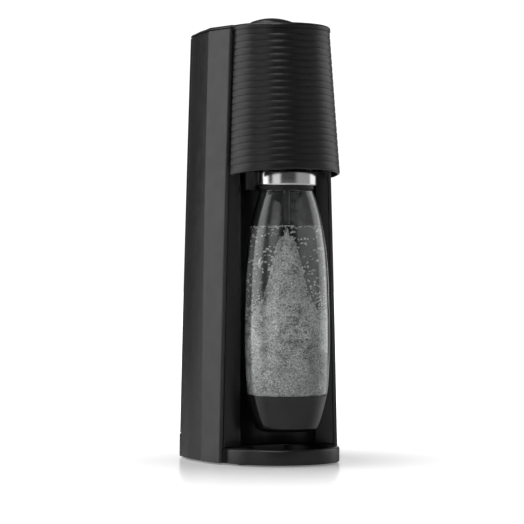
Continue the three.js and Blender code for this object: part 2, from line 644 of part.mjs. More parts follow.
function bottleCup() {
  const inside = [...CUP_PROFILE].slice(1).reverse().map(([radius, z]) => [radius - 2, z]);
  inside[0][0] = 37.7;
  return turned([[0, 34.4], [18, 34.4], [22, BOTTLE.bottom], ...CUP_PROFILE, ...inside,
    [22.6, BOTTLE.bottom + 3.6], [0, BOTTLE.bottom + 4]], 0, 0, BOTTLE.sides);
}

// ---- materials ----
const FINISH = {
  satinBlack: [0x17181a, 0.45, 0],
  panelGrey: [0x3f4146, 0.5, 0],
  innerBlack: [0x1f2022, 0.7, 0],
  chrome: [0xd6d8da, 0.12, 1],
  steel: [0x9da1a6, 0.4, 1],
  brass: [0xb18d45, 0.35, 1],
  rubber: [0x121212, 0.9, 0],
  clear: [0xdfe8ec, 0.08, 0],
  cylinderBlue: [0x2f5f9a, 0.4, 0.2],
  nozzleGrey: [0x8f9397, 0.5, 0],
  releaseGrey: [0x6d7075, 0.55, 0],
};

function material(name) {
  const [color, roughness, metalness] = FINISH[name];
  return new THREE.MeshStandardMaterial({ color, roughness, metalness });
}

// ---- assembly ----
const carbonator = new THREE.Group();

function place(name, finish, solid) {
  const mesh = new THREE.Mesh(toGeometry(solid), material(finish));
  mesh.name = name;
  carbonator.add(mesh);
  return mesh;
}

function placePair(name, finish, solid) {
  place(`${name}_right`, finish, solid);
  place(`${name}_left`, finish, solid.mirror([1, 0, 0]));
}

function addBase() {
  place("base_tub", "satinBlack", baseTub());
  place("rear_base", "satinBlack", rearBase());
  place("base_plate", "innerBlack", basePlate());
  FOOT_PLACES.forEach(([x, y], i) => place(`foot_${i + 1}`, "rubber", foot(x, y)));
  SCREW_PLACES.forEach(([x, y], i) => place(`base_screw_${i + 1}`, "steel", baseScrew(x, y)));
  place("drip_tray", "satinBlack", dripTray());
  place("cover_hinge_pin", "steel", crossRod(HINGE.pinRadius, -28, 28, HINGE.y, HINGE.z));
  place("cylinder_seat", "rubber", bushing(SEAT.inner, SEAT.outer, BASE.rim + 0.3, SEAT.top, 0, CYLINDER.y));
}

function addBody() {
  placePair("side_panel", "panelGrey", sidePanel());
  placePair("rear_shell", "satinBlack", rearShell());
  place("front_column", "satinBlack", frontColumn());
  place("rear_cover", "satinBlack", rearCover());
  place("top_cover", "satinBlack", topCover());
  place("cover_latch", "satinBlack", coverLatch());
  const springY = (LATCH.front + LATCH.back) / 2;
  place("latch_spring", "steel", coil(3.4, 0.6, LATCH_SHELF.floor + 0.3, LATCH.bottom - 0.3, 4, 0, springY));
  place("head_shell", "satinBlack", headShell());
  place("head_underside", "innerBlack", headUnderside());
  place("head_frame", "innerBlack", headFrame());
}

function addActuator() {
  place("button_cap", "satinBlack", buttonCap());
  place("button_stem", "innerBlack", buttonStem());
  place("button_well", "innerBlack", buttonWell());
  place("button_spring", "steel", coil(7.5, 0.7, BUTTON.wellFloor + 2.3, 435.4, 5, 0, BUTTON.y));
  place("actuator_lever", "steel", actuatorLever());
  place("actuator_pin", "steel", crossRod(2, -13, 13, LEVER.pivotY, LEVER.pivotZ));
  place("mechanism_plate", "steel", mechanismPlate());
}

function addGasSide() {
  place("valve_block", "steel", valveBlock());
  place("valve_plunger", "brass", valvePlunger());
  place("plunger_seal", "rubber", bushing(4.4, 7.1, BLOCK.top - 7.6, BLOCK.top - 4.4, 0, CYLINDER.y, 24));
  place("relief_valve", "brass", reliefValve());
  place("hose_fitting", "brass", hoseFitting());
  place("hose_elbow", "innerBlack", hoseElbow());
  place("gas_hose", "rubber", gasHose());
  place("gas_cylinder", "cylinderBlue", gasCylinder());
  place("cylinder_valve", "brass", cylinderValve());
  place("release_lever", "releaseGrey", releaseLever());
  place("release_pin_right", "steel", releasePin(1));
  place("release_pin_left", "steel", releasePin(-1));
}

function addHolder() {
  place("holder_yoke", "satinBlack", holderYoke());
  place("chrome_ring", "chrome", chromeRing());
  const sleeve = bushing(SLEEVE.inner, SLEEVE.outer, SLEEVE.bottom, SLEEVE.top, 0, 0, 36);
  const tube = bushing(NOZZLE.bore, NOZZLE.radius, NOZZLE.bottom, NOZZLE.top, 0, 0, 20);
  place("neck_sleeve", "innerBlack", sleeve);
  place("carbonation_block", "innerBlack", carbonationBlock());
  place("nozzle_tube", "nozzleGrey", tube);
  place("nozzle_tip", "innerBlack", nozzleTip());
  place("bottle_seal", "rubber", bushing(11, 20, 287.9, 291.1, 0, 0));
  placePair("pivot_bracket", "steel", pivotBracket(38.2));
  place("pivot_pin_right", "steel", pivotPin(1));
  place("pivot_pin_left", "steel", pivotPin(-1));
}

function addBottle() {
  place("bottle_shell", "clear", bottleShell());
  place("bottle_cup", "satinBlack", bottleCup());
}

addBase();
addBody();
addActuator();
addGasSide();
addHolder();
addBottle();
carbonator.position.y = -(FRONT_Y + REAR_Y) / 2;

export default carbonator;
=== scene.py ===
"""Looks of a gas-powered soda carbonator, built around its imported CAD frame.

Shapes are worked out in millimetres in a design frame whose upright axis is the bottle's:
+X to the viewer's right when facing the front, -Y to the front, z = 0 on the worktop.
"""

import json
import math
from functools import lru_cache

import bmesh
import bpy
import numpy as np
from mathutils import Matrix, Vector, noise

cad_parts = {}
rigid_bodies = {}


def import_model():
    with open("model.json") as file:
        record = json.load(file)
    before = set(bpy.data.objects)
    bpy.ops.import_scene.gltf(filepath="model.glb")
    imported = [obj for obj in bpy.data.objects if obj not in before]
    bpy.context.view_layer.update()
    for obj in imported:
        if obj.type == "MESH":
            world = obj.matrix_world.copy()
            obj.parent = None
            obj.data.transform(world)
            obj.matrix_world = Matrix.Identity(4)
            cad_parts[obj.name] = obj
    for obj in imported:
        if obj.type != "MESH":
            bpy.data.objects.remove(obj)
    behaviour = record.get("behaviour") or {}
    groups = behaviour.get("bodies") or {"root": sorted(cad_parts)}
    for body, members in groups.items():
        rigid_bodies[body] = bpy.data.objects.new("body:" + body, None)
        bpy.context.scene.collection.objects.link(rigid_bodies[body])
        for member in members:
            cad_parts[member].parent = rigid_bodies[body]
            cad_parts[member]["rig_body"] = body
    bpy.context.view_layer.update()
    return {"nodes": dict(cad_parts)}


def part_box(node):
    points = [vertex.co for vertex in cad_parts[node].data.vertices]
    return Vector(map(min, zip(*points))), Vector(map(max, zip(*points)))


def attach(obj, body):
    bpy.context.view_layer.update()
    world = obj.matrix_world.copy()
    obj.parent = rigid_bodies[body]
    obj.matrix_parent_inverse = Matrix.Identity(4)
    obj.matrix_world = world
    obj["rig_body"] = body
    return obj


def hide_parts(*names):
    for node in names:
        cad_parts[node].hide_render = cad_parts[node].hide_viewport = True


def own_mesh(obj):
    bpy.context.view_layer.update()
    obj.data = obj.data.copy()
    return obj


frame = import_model()

MM = 0.001
RING_LOW, RING_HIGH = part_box("chrome_ring")
BOTTLE_Y = (RING_LOW.y + RING_HIGH.y) / 2

# ---- the machine's driving sizes, in millimetres ----
TAPER_HEIGHT = 412
FRONT_FACE_Y, CREASE_Y, SEAM_Y = 16, 50, 108
NARROWING = {"front": (0.14, 0.035), "crease": (0.045, 0.065), "rear": (0.16, 0.035)}
WALL = 2.6
BODY_FOOT = 1.5
PLAN_MIDDLE = (0, 43.65)
PAST_X, PAST_Y, PAST_Z = 80, 140, 5  # cutters end at this x and y, and this far past in z
PANEL_FRONT_X, PANEL_CREASE_X, PANEL_THICKNESS = 66, 70, 4.3
PANEL_BOW = 0.45
JOINT_GAP = 0.4
SHELL_LINE = ((67.8, 50.4), (68.6, 66), (68.2, 84), (64.6, 108))
REAR_LINE = ((64.3, 108.7), (61.4, 119.5), (50, 130.4), (30, 134.5), (0, 135))
BASE_RADIUS, BASE_RIM = 59.7, 16.3
BASE_BACK_X, BASE_BACK_Y = 61.3, 103.6
REAR_BASE_FRONT, REAR_BASE_TOP = 104, 24.6
HINGE_Y, HINGE_Z = 128.5, 30.3
EAR_RADIUS, EAR_WIDTH, EAR_FOOT, EAR_LEFTS = 2.6, 3.6, 24, (-28, -15.6, 12, 24.4)
LUG_RADIUS, LUG_WIDTH, LUG_BACK_Y, LUG_LEFTS = 3.2, 8, 132.2, (-24, 16)
COVER_WRAP_Y = 121
LID_STEP_Y = 15.6
TRAY_RADIUS, TRAY_Y = 41.2, 3
NICHE_RADIUS, NICHE_Y = 44, 3
HEAD_LOW, HEAD_HIGH = 291, 416
HEAD_RADII, HEAD_YS = (56.6, 50.3), (9.2, 15)
HEAD_EDGE_SIDE, HEAD_EDGE_FRONT = 283, 288
GROOVES, FIRST_GROOVE, GROOVE_PITCH = 20, 0.0642, 0.0473
GROOVE_HALF, GROOVE_DEPTH = 0.0058, 0.5
BUTTON_Y, BUTTON_RADIUS = 32.5, 24
CYLINDER_Y, CYLINDER_SCOOP = 84, 32.5
BOTTLE_WALL = 1.6
WATER_LEVEL = 234

# ---- the studio ----
# Painted glow on the floor: its strength at the machine's foot, then the distances in metres from the floor's
# middle over which it rises to full. The weak glow near the foot paints a shade round it.
PAINTED_GLOW_AT_FOOT = 0.2
PAINTED_GLOW_RISE_START, PAINTED_GLOW_RISE_END = 0.09, 0.42
FLOOR_REACH = 26
FLOOR_ROUGHNESS = 0.26
ROOM_LIGHT, BACKDROP = 0.05, 1.1
EDGE_FADE = 0.3


def top_of(node):
    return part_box(node)[1].z / MM


BODY_TOP = top_of("side_panel_right")
HEAD_TOP = top_of("head_shell")
COVER_TOP = 431


# ---- mesh making ----
def to_row(points):
    """Design millimetres to the row frame's metres."""
    array = np.array(points, float) * MM
    array[:, 1] += BOTTLE_Y
    return array


def add_mesh(name, points, faces, body, material, slot, replaces=(), sharp=32):
    mesh = bpy.data.meshes.new(name)
    mesh.from_pydata(to_row(points).tolist(), [], faces)
    piece = bpy.data.objects.new(name, mesh)
    bpy.context.scene.collection.objects.link(piece)
    tidy_normals(piece)
    finish_piece(piece, body, material, replaces, sharp)
    return piece


def tidy_normals(piece):
    work = bmesh.new()
    work.from_mesh(piece.data)
    bmesh.ops.recalc_face_normals(work, faces=work.faces)
    work.to_mesh(piece.data)
    work.free()


def smooth(piece, sharp):
    piece.data.polygons.foreach_set("use_smooth", [True] * len(piece.data.polygons))
    piece.data.set_sharp_from_angle(angle=math.radians(sharp))


def finish_piece(piece, body, material, replaces, sharp):
    piece.data.materials.clear()
    piece.data.materials.append(material)
    smooth(piece, sharp)
    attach(piece, body)
    if replaces:
        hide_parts(*replaces)


def apply_modifiers(piece, sharp=32):
    graph = bpy.context.evaluated_depsgraph_get()
    mesh = bpy.data.meshes.new_from_object(piece.evaluated_get(graph))
    piece.modifiers.clear()
    piece.data = mesh
    smooth(piece, sharp)


def soften(piece, width, segments=3, angle=40):
    bevel = piece.modifiers.new("soften", "BEVEL")
    bevel.width = width * MM
    bevel.segments = segments
    bevel.limit_method = "ANGLE"
    bevel.angle_limit = math.radians(angle)
    bevel.use_clamp_overlap = True
    apply_modifiers(piece)


def loft(rings):
    """Points and faces of a capped skin through rings that all have the same number of points."""
    count = len(rings[0])
    points = [point for ring in rings for point in ring]
    faces = []
    for row in range(len(rings) - 1):
        for i in range(count):
            j = (i + 1) % count
            a, b = row * count, (row + 1) * count
            faces.append((a + i, a + j, b + j, b + i))
    faces.append(tuple(range(count))[::-1])
    faces.append(tuple(range((len(rings) - 1) * count, len(rings) * count)))
    return points, faces


def revolve(profile, x, y, segments=96, closed=False):
    """A turned skin from (radius, z) points. A closed profile makes a ring; an open one ends on the axis."""
    columns = [(math.cos(t), math.sin(t)) for t in np.linspace(0, 2 * math.pi, segments, endpoint=False)]
    points, rows = [], []
    for radius, z in profile:
        if radius < 1e-6:
            rows.append([len(points)] * segments)
            points.append((x, y, z))
        else:
            rows.append(list(range(len(points), len(points) + segments)))
            points += [(x + radius * c, y + radius * s, z) for c, s in columns]
    pairs = list(zip(rows, rows[1:] + rows[:1])) if closed else list(zip(rows, rows[1:]))
    faces = []
    for low, high in pairs:
        for i in range(segments):
            j = (i + 1) % segments
            face = [low[i], low[j], high[j], high[i]]
            unique = list(dict.fromkeys(face))
            if len(unique) > 2:
                faces.append(unique)
    return points, faces


def rounded(profile, radii, steps=5):
    """The profile with its inner corners turned to arcs. radii gives one radius, or one for each point."""
    sizes = radii if hasattr(radii, "__len__") else [radii] * len(profile)
    result = []
    last = len(profile) - 1
    for i, (point, size) in enumerate(zip(profile, sizes)):
        if i in (0, last) or size <= 0:
            result.append(tuple(point))
            continue
        here, before, after = (np.array(profile[k], float) for k in (i, i - 1, i + 1))
        to_before, to_after = before - here, after - here
        reach = min(size, 0.49 * np.linalg.norm(to_before), 0.49 * np.linalg.norm(to_after))
        start = here + to_before / np.linalg.norm(to_before) * reach
        end = here + to_after / np.linalg.norm(to_after) * reach
        for t in np.linspace(0, 1, steps):
            result.append(tuple((1 - t) ** 2 * start + 2 * t * (1 - t) * here + t * t * end))
    return result


def spline(points, count):
    """A smooth line through the points (Catmull-Rom), as count + 1 points."""
    array = np.array([points[0], *points, points[-1]], float)
    array[0] = 2 * array[1] - array[2]
    array[-1] = 2 * array[-2] - array[-3]
    result = []
    spans = len(points) - 1
    for t in np.linspace(0, spans, count + 1):
        k = min(int(t), spans - 1)
        u = t - k
        a, b, c, d = array[k:k + 4]
        result.append(0.5 * (2 * b + (c - a) * u + (2 * a - 5 * b + 4 * c - d) * u ** 2
                             + (3 * b - a - 3 * c + d) * u ** 3))
    return np.array(result)


def offset(line, distance):
    """The line moved to its left by distance."""
    ahead = np.roll(line, -1, 0)
    behind = np.roll(line, 1, 0)
    ahead[-1], behind[0] = line[-1], line[0]
    along = ahead - behind
    along /= np.linalg.norm(along, axis=1)[:, None]
    return line + distance * np.column_stack([-along[:, 1], along[:, 0]])


def mirror_x(line):
    return np.column_stack([-line[:, 0], line[:, 1]])


def arc(radius, x, y, start, end, count):
    angles = np.radians(np.linspace(start, end, count + 1))
    return np.column_stack([x + radius * np.cos(angles), y + radius * np.sin(angles)])


# ---- the tapering body ----
def width_scale(y, z):
    height = np.asarray(z, float) / TAPER_HEIGHT
    to_crease = np.clip((np.asarray(y, float) - FRONT_FACE_Y) / (CREASE_Y - FRONT_FACE_Y), 0, 1)
    to_rear = np.clip((np.asarray(y, float) - CREASE_Y) / (SEAM_Y - CREASE_Y), 0, 1)
    rates = []
    for front, crease, rear in zip(*(NARROWING[key] for key in ("front", "crease", "rear"))):
        rate = front + (crease - front) * to_crease
        rates.append(rate + (rear - rate) * to_rear)
    return 1 - height * (rates[0] + rates[1] * height)


def tapered(line, z):
    line = np.asarray(line, float)
    return np.column_stack([line[:, 0] * width_scale(line[:, 1], z), line[:, 1], np.full(len(line), z)])


def tapered_loft(line, z0, z1, rows=44):
    return loft([tapered(line, z) for z in np.linspace(z0, z1, rows)])


def rear_line(count=40):
    half = spline(REAR_LINE, count)
    return np.vstack([half, mirror_x(half)[::-1][1:]])


def wall_outline(line, thickness):
    return np.vstack([line, offset(line, thickness)[::-1]])


# ---- materials ----
def new_material(name):
    material = bpy.data.materials.new(name)
    material.use_nodes = True
    tree = material.node_tree
    return material, tree.nodes, tree.links, tree.nodes["Principled BSDF"]


def object_noise(nodes, links, scale, detail=4, roughness=0.55, stretch=(1, 1, 1)):
    place = nodes.new("ShaderNodeTexCoord")
    mapping = nodes.new("ShaderNodeMapping")
    mapping.inputs["Scale"].default_value = stretch
    texture = nodes.new("ShaderNodeTexNoise")
    texture.inputs["Scale"].default_value = scale
    texture.inputs["Detail"].default_value = detail
    texture.inputs["Roughness"].default_value = roughness
    links.new(place.outputs["Object"], mapping.inputs["Vector"])
    links.new(mapping.outputs["Vector"], texture.inputs["Vector"])
    return texture.outputs["Fac"]


def ramp(nodes, links, source, stops):
    node = nodes.new("ShaderNodeValToRGB")
    elements = node.color_ramp.elements
    while len(elements) < len(stops):
        elements.new(0.5)
    for element, (place, value) in zip(elements, stops):
        element.position = place
        element.color = (*value, 1) if hasattr(value, "__len__") else (value, value, value, 1)
    links.new(source, node.inputs["Fac"])
    return node.outputs["Color"]


def add_bump(nodes, links, shader, height, strength, distance=0.0002):
    bump = nodes.new("ShaderNodeBump")
    bump.inputs["Strength"].default_value = strength
    bump.inputs["Distance"].default_value = distance
    links.new(height, bump.inputs["Height"])
    links.new(bump.outputs["Normal"], shader.inputs["Normal"])


def plastic(name, dark, light, roughness, grain=1400, bump=0.25, specular=0.5):
    """Moulded plastic: a spark-eroded grain, slow colour drift and patchy sheen."""
    material, nodes, links, shader = new_material(name)
    drift = object_noise(nodes, links, 9, 3)
    links.new(ramp(nodes, links, drift, ((0.3, dark), (0.7, light))), shader.inputs["Base Color"])
    patches = object_noise(nodes, links, 60, 6, 0.7)
    low, high = roughness
    links.new(ramp(nodes, links, patches, ((0.35, low), (0.65, high))), shader.inputs["Roughness"])
    shader.inputs["Specular IOR Level"].default_value = specular
    add_bump(nodes, links, shader, object_noise(nodes, links, grain, 2, 0.5), bump, 0.00008)
    return material


def metal(name, dark, light, roughness, stretch=(1, 1, 1), scale=300, bump=0.1):
    """Metal with a directional finish: brushed or drawn along one axis by stretch."""
    material, nodes, links, shader = new_material(name)
    shader.inputs["Metallic"].default_value = 1
    strokes = object_noise(nodes, links, scale, 5, 0.6, stretch)
    links.new(ramp(nodes, links, strokes, ((0.3, dark), (0.7, light))), shader.inputs["Base Color"])
    low, high = roughness
    links.new(ramp(nodes, links, strokes, ((0.3, low), (0.7, high))), shader.inputs["Roughness"])
    add_bump(nodes, links, shader, strokes, bump, 0.00005)
    return material


def rubber_material():
    material, nodes, links, shader = new_material("rubber")
    dust = object_noise(nodes, links, 140, 6, 0.7)
    links.new(ramp(nodes, links, dust, ((0.45, 0.012), (0.8, 0.04))), shader.inputs["Base Color"])
    shader.inputs["Roughness"].default_value = 0.82
    add_bump(nodes, links, shader, dust, 0.4)
    return material


def painted_cylinder_material():
    material, nodes, links, shader = new_material("cylinder_paint")
    orange_peel = object_noise(nodes, links, 500, 2)
    drift = object_noise(nodes, links, 25, 5)
    blues = ((0.3, (0.012, 0.06, 0.17)), (0.7, (0.02, 0.085, 0.23)))
    links.new(ramp(nodes, links, drift, blues), shader.inputs["Base Color"])
    shader.inputs["Roughness"].default_value = 0.32
    shader.inputs["Coat Weight"].default_value = 0.4
    shader.inputs["Coat Roughness"].default_value = 0.15
    add_bump(nodes, links, shader, orange_peel, 0.25)
    return material


def clear_material(name, tint, ior, roughness, waves):
    material, nodes, links, shader = new_material(name)
    shader.inputs["Base Color"].default_value = (*tint, 1)
    shader.inputs["Transmission Weight"].default_value = 1
    shader.inputs["IOR"].default_value = ior
    shader.inputs["Roughness"].default_value = roughness
    add_bump(nodes, links, shader, object_noise(nodes, links, waves, 2), 0.08, 0.0004)
    return material


def bubble_material_painted_rims():
    """Gas bubbles in water: white, with a painted bright rim round a half see-through, darker middle, in
    place of the light their surfaces reflect.
    """
    material, nodes, links, shader = new_material("bubbles")
    rim = nodes.new("ShaderNodeLayerWeight")
    rim.inputs["Blend"].default_value = 0.35
    speckle = object_noise(nodes, links, 900, 3, 0.6)
    tone = ramp(nodes, links, speckle, ((0.3, 0.8), (0.6, 1.0)))
    links.new(tone, shader.inputs["Base Color"])
    # Painted highlight: where the surface turns away from the camera the white is fully opaque, and the
    # middle is half see-through.
    links.new(ramp(nodes, links, rim.outputs["Facing"], ((0.15, 0.5), (0.5, 1.0))), shader.inputs["Alpha"])
    shader.inputs["Roughness"].default_value = 0.12
    return material


def foam_material():
    """A crowd of bubbles too fine to model one by one: white cells with dark gaps between them."""
    material, nodes, links, shader = new_material("foam")
    place = nodes.new("ShaderNodeTexCoord")
    cells = nodes.new("ShaderNodeTexVoronoi")
    cells.inputs["Scale"].default_value = 620
    links.new(place.outputs["Object"], cells.inputs["Vector"])
    rims = ramp(nodes, links, cells.outputs["Distance"], ((0.1, 1.0), (0.75, 0.3)))
    drift = ramp(nodes, links, object_noise(nodes, links, 85, 4, 0.6), ((0.36, 0.45), (0.56, 1.0)))
    blend = nodes.new("ShaderNodeMix")
    blend.data_type = "RGBA"
    blend.blend_type = "MULTIPLY"
    blend.inputs[0].default_value = 1
    links.new(rims, blend.inputs[6])
    links.new(drift, blend.inputs[7])
    links.new(blend.outputs[2], shader.inputs["Base Color"])
    shader.inputs["Roughness"].default_value = 0.35
    add_bump(nodes, links, shader, cells.outputs["Distance"], 0.8, 0.0008)
    return material


SATIN = plastic("satin_black", 0.0105, 0.0145, (0.30, 0.40))
PANEL = plastic("panel_satin", 0.034, 0.042, (0.42, 0.52), specular=0.65)
INNER = plastic("inner_black", 0.008, 0.012, (0.5, 0.62), 900, 0.35)
GLOSS = plastic("cup_black", 0.006, 0.009, (0.1, 0.15), 1800, 0.03, specular=0.6)
CHROME = metal("chrome", 0.80, 0.86, (0.13, 0.19), (1, 1, 30), 120, 0.02)
STEEL = metal("zinc_steel", 0.42, 0.58, (0.3, 0.45), (1, 1, 1), 260, 0.15)
BRASS = metal("brass", (0.48, 0.33, 0.11), (0.66, 0.48, 0.19), (0.22, 0.36), (1, 1, 24), 200, 0.1)
RUBBER = rubber_material()
PAINT = painted_cylinder_material()
GREY = plastic("release_grey", 0.13, 0.17, (0.45, 0.55))
NOZZLE = plastic("nozzle_grey", 0.05, 0.07, (0.25, 0.35), 1800, 0.1)
CLEAR = clear_material("clear_bottle", (0.97, 0.985, 0.985), 1.5, 0.02, 22)
WATER = clear_material("water", (0.99, 0.995, 0.995), 1.333, 0.0, 60)
BUBBLES = bubble_material_painted_rims()
FOAM = foam_material()


# ---- outer body ----
def side_panels():
    bow = [(PANEL_FRONT_X + (PANEL_CREASE_X - PANEL_FRONT_X) * t + PANEL_BOW * 4 * t * (1 - t),
            FRONT_FACE_Y + (CREASE_Y - FRONT_FACE_Y) * t) for t in np.linspace(0, 1, 13)]
    inside = [(PANEL_CREASE_X - PANEL_THICKNESS, CREASE_Y), (PANEL_FRONT_X - PANEL_THICKNESS, FRONT_FACE_Y)]
    line = np.array(bow + inside, float)
    for side, name in ((1, "side_panel_right"), (-1, "side_panel_left")):
        outline = line * (side, 1)
        skin = tapered_loft(outline, BODY_FOOT, BODY_TOP)
        piece = add_mesh(name + "_skin", *skin, "housing", PANEL, "panel_grey", (name,))
        soften(piece, 1.1, 4)


def rear_shells():
    outer = spline(SHELL_LINE, 26)
    line = wall_outline(outer, WALL)
    for side, name in ((1, "rear_shell_right"), (-1, "rear_shell_left")):
        skin = tapered_loft(line * (side, 1), BODY_FOOT, BODY_TOP)
        piece = add_mesh(name + "_skin", *skin, "housing", SATIN, "satin_black", (name,))
        soften(piece, 0.9, 3)


def rear_cover():
    line = wall_outline(rear_line(), WALL)
    low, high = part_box("rear_cover")
    foot = REAR_BASE_TOP + 0.7
    skin = tapered_loft(line, foot, high.z / MM)
    piece = add_mesh("rear_cover_skin", *skin, "cover", SATIN, "satin_black", ("rear_cover",))
    cut_box(piece, -PAST_X, PAST_X, COVER_WRAP_Y, PAST_Y, foot - PAST_Z, low.z / MM)
    soften(piece, 0.9, 3)
    for x in LUG_LEFTS:
        cover_lug(x)


def cover_lug(x):
    """A hinge lug on the cover's foot, round its pin."""
    angles = np.radians(np.linspace(90, 360, 19))
    curve = [(HINGE_Y + LUG_RADIUS * math.cos(a), HINGE_Z + LUG_RADIUS * math.sin(a)) for a in angles]
    outline = [(LUG_BACK_Y, HINGE_Z - LUG_RADIUS), (LUG_BACK_Y, HINGE_Z + LUG_RADIUS), *curve[:-5]]
    rings = [[(at, y, z) for y, z in outline] for at in (x, x + LUG_WIDTH)]
    piece = add_mesh(f"cover_lug_{'left' if x < 0 else 'right'}", *loft(rings), "cover", SATIN, "satin_black")
    soften(piece, 0.4, 2)


def front_column_line(z):
    """Half of the front wall's outline at height z, from the niche's middle out to the edge and back."""
    edge_x = PANEL_FRONT_X - PANEL_THICKNESS - JOINT_GAP
    lip = math.sqrt(NICHE_RADIUS ** 2 - (FRONT_FACE_Y - NICHE_Y) ** 2)
    lip_angle = math.degrees(math.asin((FRONT_FACE_Y - NICHE_Y) / NICHE_RADIUS))
    niche = arc(NICHE_RADIUS, 0, NICHE_Y, 90, lip_angle + 1.5, 24)
    front = tapered([(edge_x, FRONT_FACE_Y)], z)[0][0]
    side = tapered([(edge_x, CREASE_Y)], z)[0][0]
    outer_niche = arc(NICHE_RADIUS + WALL, 0, NICHE_Y, lip_angle + 6, 90, 24)
    walls = np.array([(lip + 1.6, FRONT_FACE_Y), (front, FRONT_FACE_Y),
                      (side, CREASE_Y), (side - WALL, CREASE_Y),
                      (front - WALL, FRONT_FACE_Y + WALL), (lip + 3.4, FRONT_FACE_Y + WALL)])
    return np.vstack([niche, walls, outer_niche])


def front_column():
    low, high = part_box("front_column")
    rings = []
    for z in np.linspace(low.z / MM, high.z / MM, 30):
        half = front_column_line(z)
        rings.append([(x, y, z) for x, y in np.vstack([half, mirror_x(half)[::-1]])])
    piece = add_mesh("front_column_skin", *loft(rings), "housing", SATIN, "satin_black", ("front_column",))
    soften(piece, 0.7, 3)


def top_cover_line():
    """Half of the top cover's plan, from the front middle to the rear middle."""
    front = arc(HEAD_RADII[1], 0, HEAD_YS[1], -90, 0, 30)
    side = np.vstack([[(PANEL_FRONT_X, FRONT_FACE_Y), (PANEL_CREASE_X, CREASE_Y), (68.6, 66), (68.2, 84)],
                      spline(REAR_LINE, 30)])
    side = np.column_stack([side[:, 0] * width_scale(side[:, 1], 425), side[:, 1]])
    return np.vstack([front, side])


def top_cover():
    half = top_cover_line()
    outline = np.vstack([half, mirror_x(half)[::-1][1:-1]])
    middle = np.array(PLAN_MIDDLE)
    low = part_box("head_shell")[1].z / MM + 0.6
    radius, rings = 3.2, []
    for t in np.linspace(0, 1, 7):
        angle = t * math.pi / 2
        rings.append((1 - (1 - math.cos(angle)) * radius / 60, COVER_TOP - radius + radius * math.sin(angle)))
    levels = [(1, low)] + rings
    stack = [[(*(middle + (point - middle) * scale), z) for point in outline] for scale, z in levels]
    piece = add_mesh("top_cover_skin", *loft(stack), "housing", SATIN, "satin_black", ("top_cover",))
    cut_round(piece, 0, BUTTON_Y, BUTTON_RADIUS + 0.8, low - PAST_Z, COVER_TOP + PAST_Z)
    cut_box(piece, -PAST_X, PAST_X, LID_STEP_Y, PAST_Y, low - PAST_Z, BODY_TOP + 0.6)
    latch_low, latch_high = (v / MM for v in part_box("cover_latch"))
    back = -BOTTLE_Y / MM
    cut_box(piece, latch_low.x - JOINT_GAP, latch_high.x + JOINT_GAP, latch_low.y + back - JOINT_GAP,
            latch_high.y + back + JOINT_GAP, low - PAST_Z, COVER_TOP + PAST_Z)
    soften(piece, 0.5, 3, 50)


def cut(piece, points, faces):
    mesh = bpy.data.meshes.new("cutter")
    mesh.from_pydata(to_row(points).tolist(), [], faces)
    cutter = bpy.data.objects.new("cutter", mesh)
    bpy.context.scene.collection.objects.link(cutter)
    tidy_normals(cutter)
    modifier = piece.modifiers.new("cut", "BOOLEAN")
    modifier.operation = "DIFFERENCE"
    modifier.object = cutter
    modifier.solver = "EXACT"
    apply_modifiers(piece)
    bpy.data.objects.remove(cutter)


def cut_round(piece, x, y, radius, z0, z1, segments=96):
    cut(piece, *revolve([(0, z0), (radius, z0), (radius, z1), (0, z1)], x, y, segments))


def cut_box(piece, x0, x1, y0, y1, z0, z1):
    corners = [(x0, y0), (x1, y0), (x1, y1), (x0, y1)]
    cut(piece, *loft([[(x, y, z) for x, y in corners] for z in (z0, z1)]))


# ---- base ----
def base_line(inset):
    front = arc(BASE_RADIUS - inset, 0, FRONT_FACE_Y, -90, 0, 36)
    inner_x = PANEL_FRONT_X - PANEL_THICKNESS - JOINT_GAP - inset
    crease_x = PANEL_CREASE_X - PANEL_THICKNESS - JOINT_GAP - inset
    side = np.array([(inner_x, FRONT_FACE_Y + 0.4), (crease_x, CREASE_Y), (crease_x - 1, CREASE_Y + 1),
                     (BASE_BACK_X - inset, BASE_BACK_Y - inset)])
    half = np.vstack([front, side])
    return np.vstack([half, mirror_x(half)[::-1][:-1]])


def base_front():
    """The tub's round front, its deck and the tray's recess, as one skin."""
    recess = TRAY_RADIUS + 0.8
    outline = base_line(0)
    reach = np.arctan2(outline[:, 1] - TRAY_Y, outline[:, 0])
    circle = np.column_stack([np.cos(reach), np.sin(reach)])

    def ring(inset, z):
        return [(x, y, z) for x, y in base_line(inset)]

    def hole(radius, z):
        return [(radius * c, TRAY_Y + radius * s, z) for c, s in circle]

    edge = 2.4
    rims = [(edge * (1 - math.cos(a)), BASE_RIM - edge + edge * math.sin(a))
            for a in np.linspace(0, math.pi / 2, 7)]
    rings = [hole(2, 4.2), ring(WALL, 4.2), ring(WALL, BODY_FOOT), ring(0.7, BODY_FOOT),
             ring(0.2, BODY_FOOT + 0.3), ring(0, BODY_FOOT + 0.9)]
    rings += [ring(*level) for level in rims]
    rings += [hole(recess + 1.2, BASE_RIM), hole(recess + 0.3, BASE_RIM - 0.3), hole(recess, BASE_RIM - 1.2),
              hole(recess, 6.8), hole(recess - 0.6, 6.2), hole(2, 6.2)]
    add_mesh("base_front", *loft(rings), "housing", SATIN, "satin_black", ("base_tub",), 38)


def base_rear():
    """The raised block behind the tub, scooped out at the top in front for the gas cylinder."""
    outline = np.vstack([rear_line(30), [(-60, REAR_BASE_FRONT), (60, REAR_BASE_FRONT)]])
    rings = [[(x, y, z) for x, y in outline] for z in (BODY_FOOT, REAR_BASE_TOP)]
    piece = add_mesh("base_rear", *loft(rings), "housing", SATIN, "satin_black", ("rear_base",))
    cut_round(piece, 0, CYLINDER_Y, CYLINDER_SCOOP, BASE_RIM, REAR_BASE_TOP + PAST_Z)
    soften(piece, 1.0, 4)
    for x in EAR_LEFTS:
        hinge_ear(x)


